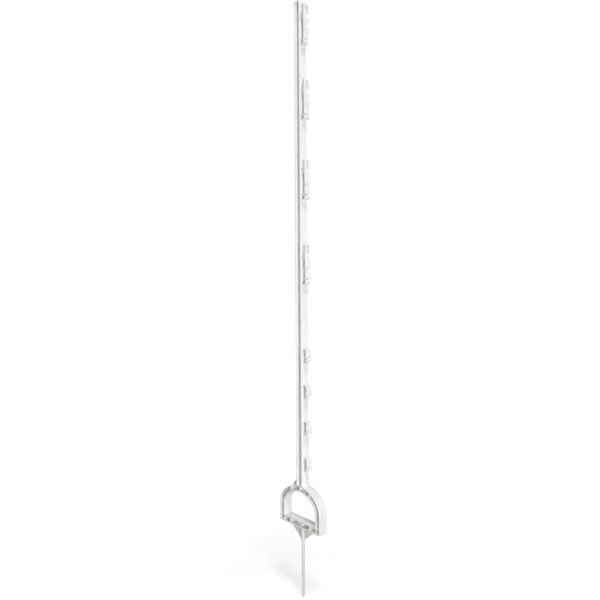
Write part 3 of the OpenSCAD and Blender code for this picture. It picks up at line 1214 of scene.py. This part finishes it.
@dataclass
class ClipRow:
    """A row of equal clips up the shaft's tapered face, laid by Geometry Nodes."""

    shaft: Shaft
    name: str
    count: int
    first: float
    pitch: float
    growth: float = 0.0

    def build(self, clip: bpy.types.Object, finish: bpy.types.Material) -> bpy.types.Object:
        """Repeat a clip along the shaft.

        Args:
            clip: One clip, which is used up.
            finish: Material of the moulding.

        Returns:
            The row as one plain mesh.
        """
        shaft = self.shaft
        slope = (shaft.width(shaft.top) - shaft.width(0)) / (2 * shaft.top)
        tree = bpy.data.node_groups.new(self.name, "GeometryNodeTree")
        sizes = {
            "Count": ("NodeSocketInt", self.count), "First": ("NodeSocketFloat", self.first * MM),
            "Pitch": ("NodeSocketFloat", self.pitch * MM), "Growth": ("NodeSocketFloat", self.growth * MM),
            "Face": ("NodeSocketFloat", shaft.width(0) / 2 * MM), "Slope": ("NodeSocketFloat", slope),
        }
        inputs = group_inputs(tree, sizes)
        i = add_node(tree, "GeometryNodeInputIndex").outputs[0]
        pairs = maths(tree, "MULTIPLY", maths(tree, "MULTIPLY", i, maths(tree, "SUBTRACT", i, 1.0)), 0.5)
        along = maths(tree, "MULTIPLY_ADD", i, inputs["Pitch"], inputs["First"])
        z = maths(tree, "MULTIPLY_ADD", pairs, inputs["Growth"], along)
        x = maths(tree, "MULTIPLY_ADD", z, inputs["Slope"], inputs["Face"])
        position = add_node(tree, "ShaderNodeCombineXYZ", {"X": x, "Z": z})
        return repeat(tree, clip, finish, sizes, inputs["Count"], position.outputs[0])


@dataclass
class Moulding:
    """The whole moulding, fused from its closed forms as one piece."""

    stirrup: Stirrup = field(default_factory=Stirrup)
    tape_from_top: float = 50.0
    tape_pitch: float = 195.0
    tape_growth: float = 12.5
    tape_count: int = 4
    hook_low: float = 143.6
    hook_pitch: float = 93.8
    hook_count: int = 4

    def build(self, finish: bpy.types.Material) -> bpy.types.Object:
        """Build the moulding.

        Args:
            finish: Material of the moulding.

        Returns:
            The piece, riding on its body in place of its CAD node.
        """
        shaft = Shaft(self.stirrup)
        boss = Boss(self.stirrup)
        forms = shaft.build() + self.stirrup.build(finish) + boss.build()
        top, low = shaft.top - self.tape_from_top, self.stirrup.ground + self.hook_low
        tape = ClipRow(shaft, "tape_clips", self.tape_count, top, -self.tape_pitch, -self.tape_growth)
        cord = ClipRow(shaft, "cord_hooks", self.hook_count, low, self.hook_pitch)
        forms += [row.build(clip.build(), finish) for row, clip in ((tape, TapeClip()), (cord, CordHook()))]
        piece = forms[0]
        combine(piece, forms[1:], Operation.JOIN)
        combine(piece, [boss.bore_form()], Operation.CUT)
        piece.name = piece.data.name = "post_moulding"
        shade(piece)
        piece.data.materials.clear()
        piece.data.materials.append(finish)
        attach(piece, "root")
        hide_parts("moulded_post")
        LOG.info("%s: %d faces", piece.name, len(piece.data.polygons))
        return piece


def shade(piece: bpy.types.Object) -> None:
    """Shade a piece smooth over its rounded edges, with its flat faces flat.

    Args:
        piece: Piece with a plain mesh.
    """
    for polygon in piece.data.polygons:
        polygon.use_smooth = True
    piece.data.set_sharp_from_angle(angle=math.radians(CRISP))
    modifier = piece.modifiers.new("flat_faces", "WEIGHTED_NORMAL")
    modifier.keep_sharp = True
    modifier.weight = FLATNESS
    bake(piece)


@dataclass(frozen=True)
class SoftBox:
    """A soft box that faces a point on the post's axis.

    Its azimuth is counted as the camera's is. Reach and height give its place, and aim is the height of the
    point that it faces.
    """

    name: str
    azimuth: float
    reach: float
    height: float
    aim: float
    width: float
    tall: float
    power: float

    def build(self) -> None:
        """Hang the soft box in its place."""
        data = bpy.data.lights.new(self.name, "AREA")
        data.shape = "RECTANGLE"
        data.size, data.size_y = self.width * MM, self.tall * MM
        data.energy = self.power
        lamp = bpy.data.objects.new(self.name, data)
        turn = math.radians(self.azimuth)
        place = Vector((math.sin(turn) * self.reach, -math.cos(turn) * self.reach, self.height)) * MM
        facing = (Vector((0, 0, self.aim * MM)) - place).to_track_quat("-Z", "Y")
        lamp.matrix_world = Matrix.Translation(place) @ facing.to_matrix().to_4x4()
        bpy.context.scene.collection.objects.link(lamp)


@dataclass
class Studio:
    """Camera, lamps, floor and backdrop. Lengths are in millimetres, angles in degrees and power in watts."""

    ground: float = 36.0
    azimuth: float = 48.2
    distance: float = 1602.0
    eye_height: float = 669.7
    focal_pixels: float = 612.0
    image_pixels: float = 600.0
    centre_u: float = 301.4
    horizon_v: float = 270.0
    roll: float = -0.37
    sensor: float = 36.0
    near: float = 50.0
    far: float = 60000.0
    floor_below: float = 151.0
    floor_reach: float = 12000.0
    floor_colour: str = "#c9c9c9"
    # Glow of the floor under the post, which fades to pure white between two distances from it
    glow: float = 0.64
    fade_from: float = 300.0
    fade_to: float = 1500.0
    room: float = 0.2
    soft_boxes: tuple[SoftBox, ...] = (
        SoftBox("key_strip", azimuth=64, reach=2600, height=500, aim=500, width=700, tall=1250, power=41),
        SoftBox("high_box", azimuth=62, reach=2500, height=5000, aim=100, width=1200, tall=1200, power=99),
        SoftBox("back_fill", azimuth=232, reach=2600, height=250, aim=500, width=1200, tall=600, power=15),
    )

    def place_camera(self) -> None:
        """Put the camera at the photograph's viewing angle, level, with a small lens shift."""
        data = bpy.data.cameras.new("studio_camera")
        data.sensor_width = self.sensor
        data.lens = self.focal_pixels / self.image_pixels * self.sensor
        half = self.image_pixels / 2
        data.shift_x = (half - self.centre_u) / self.image_pixels
        data.shift_y = (self.horizon_v - half) / self.image_pixels
        data.clip_start, data.clip_end = self.near * MM, self.far * MM
        camera = bpy.data.objects.new("studio_camera", data)
        turn = math.radians(self.azimuth)
        height = self.ground + self.eye_height
        eye = Vector((math.sin(turn) * self.distance, -math.cos(turn) * self.distance, height)) * MM
        level = Matrix.Rotation(turn, 4, "Z") @ Matrix.Rotation(math.radians(90), 4, "X")
        roll = Matrix.Rotation(math.radians(self.roll), 4, "Z")
        camera.matrix_world = Matrix.Translation(eye) @ level @ roll
        bpy.context.scene.collection.objects.link(camera)
        bpy.context.scene.camera = camera

    def lay_floor(self) -> None:
        """Lay a plain pale floor at the spike's tip.

        It glows a little where the camera or a mirroring surface sees it, so it reads as white and still
        holds the post's shadow.
        """
        mesh = bpy.data.meshes.new("studio_floor")
        reach, z = self.floor_reach * MM, -self.floor_below * MM
        corners = [(-reach, -reach, z), (reach, -reach, z), (reach, reach, z), (-reach, reach, z)]
        mesh.from_pydata(corners, [], [(0, 1, 2, 3)])
        floor = bpy.data.objects.new("studio_floor", mesh)
        bpy.context.scene.collection.objects.link(floor)
        material = bpy.data.materials.new("paper_sheet_white")
        material.use_nodes = True
        tree = material.node_tree
        tree.nodes.clear()
        path = add_node(tree, "ShaderNodeLightPath")
        place = add_node(tree, "ShaderNodeTexCoord").outputs["Object"]
        away = add_node(tree, "ShaderNodeVectorMath", {0: place}, operation="LENGTH").outputs["Value"]
        fade = add_node(
            tree, "ShaderNodeMapRange",
            {
                "Value": away, "From Min": self.fade_from * MM, "From Max": self.fade_to * MM,
                "To Min": self.glow, "To Max": 1.0,
            },
        )
        direct = maths(tree, "MAXIMUM", path.outputs["Is Camera Ray"], path.outputs["Is Glossy Ray"])
        seen = maths(tree, "MULTIPLY", direct, fade.outputs[0])
        paper = add_node(tree, "ShaderNodeBsdfDiffuse", {"Color": linear(self.floor_colour)})
        white = add_node(tree, "ShaderNodeEmission", {"Color": (1, 1, 1, 1), "Strength": seen})
        both = add_node(tree, "ShaderNodeAddShader", {0: paper.outputs[0], 1: white.outputs[0]})
        add_node(tree, "ShaderNodeOutputMaterial", {"Surface": both.outputs[0]})
        mesh.materials.append(material)

    def light_world(self) -> None:
        """Give the room an even pale light and a white background."""
        world = bpy.data.worlds.new("studio_world")
        bpy.context.scene.world = world
        world.use_nodes = True
        tree = world.node_tree
        tree.nodes.clear()
        path = add_node(tree, "ShaderNodeLightPath")
        seen = maths(tree, "MAXIMUM", path.outputs["Is Camera Ray"], path.outputs["Is Glossy Ray"])
        seen = maths(tree, "MAXIMUM", seen, path.outputs["Is Transmission Ray"])
        room = add_node(tree, "ShaderNodeBackground", {"Color": (1, 1, 1, 1), "Strength": self.room})
        white = add_node(tree, "ShaderNodeBackground", {"Color": (1, 1, 1, 1), "Strength": 1.0})
        mix = add_node(tree, "ShaderNodeMixShader", {0: seen, 1: room.outputs[0], 2: white.outputs[0]})
        add_node(tree, "ShaderNodeOutputWorld", {"Surface": mix.outputs[0]})

    def build(self) -> None:
        """Build the whole studio."""
        self.place_camera()
        self.lay_floor()
        self.light_world()
        for soft_box in self.soft_boxes:
            soft_box.build()
        bpy.context.scene.view_settings.view_transform = "Standard"
        LOG.info("studio: camera, lamps, floor and world")


def main() -> None:
    """Build the scene: the frame, the studio, the moulding and the spike."""
    logging.basicConfig(level=logging.INFO, format="%(name)s: %(message)s")
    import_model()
    Studio().build()
    Moulding().build(MouldedPolypropylene().build())
    Spike().build(ZincPlatedSteel().build())


if __name__ == "__main__":
    main()
